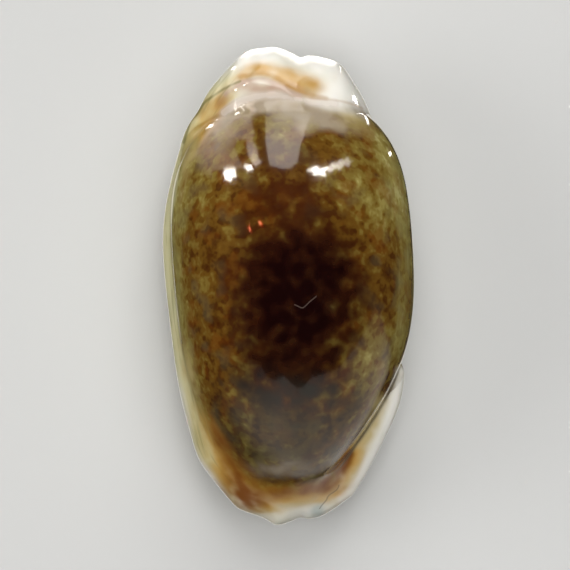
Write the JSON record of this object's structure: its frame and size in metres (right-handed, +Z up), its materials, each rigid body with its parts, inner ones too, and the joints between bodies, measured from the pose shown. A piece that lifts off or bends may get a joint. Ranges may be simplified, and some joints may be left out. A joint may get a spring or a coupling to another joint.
{
  "type": "wandering cowrie shell",
  "caption": "Small glossy egg-shaped sea shell with a humped back, thickened sides and ends, and a narrow toothed opening along its flat base.",
  "frame": {"origin": "middle of the shell's bounding box, on the plane that its base rests on", "axes": "+Y towards the hind end with the buried spire, +X towards the columella side, +Z up out of the back"},
  "size_m": [0.0146, 0.028, 0.0122],
  "materials": {
    "cowrie_enamel": "high natural gloss, olive-brown mottled back with a dark centre blotch, white callus on the sides, ends and base"
  },
  "bodies": {
    "root": {"shell": "cowrie_enamel"}
  },
  "joints": []
}
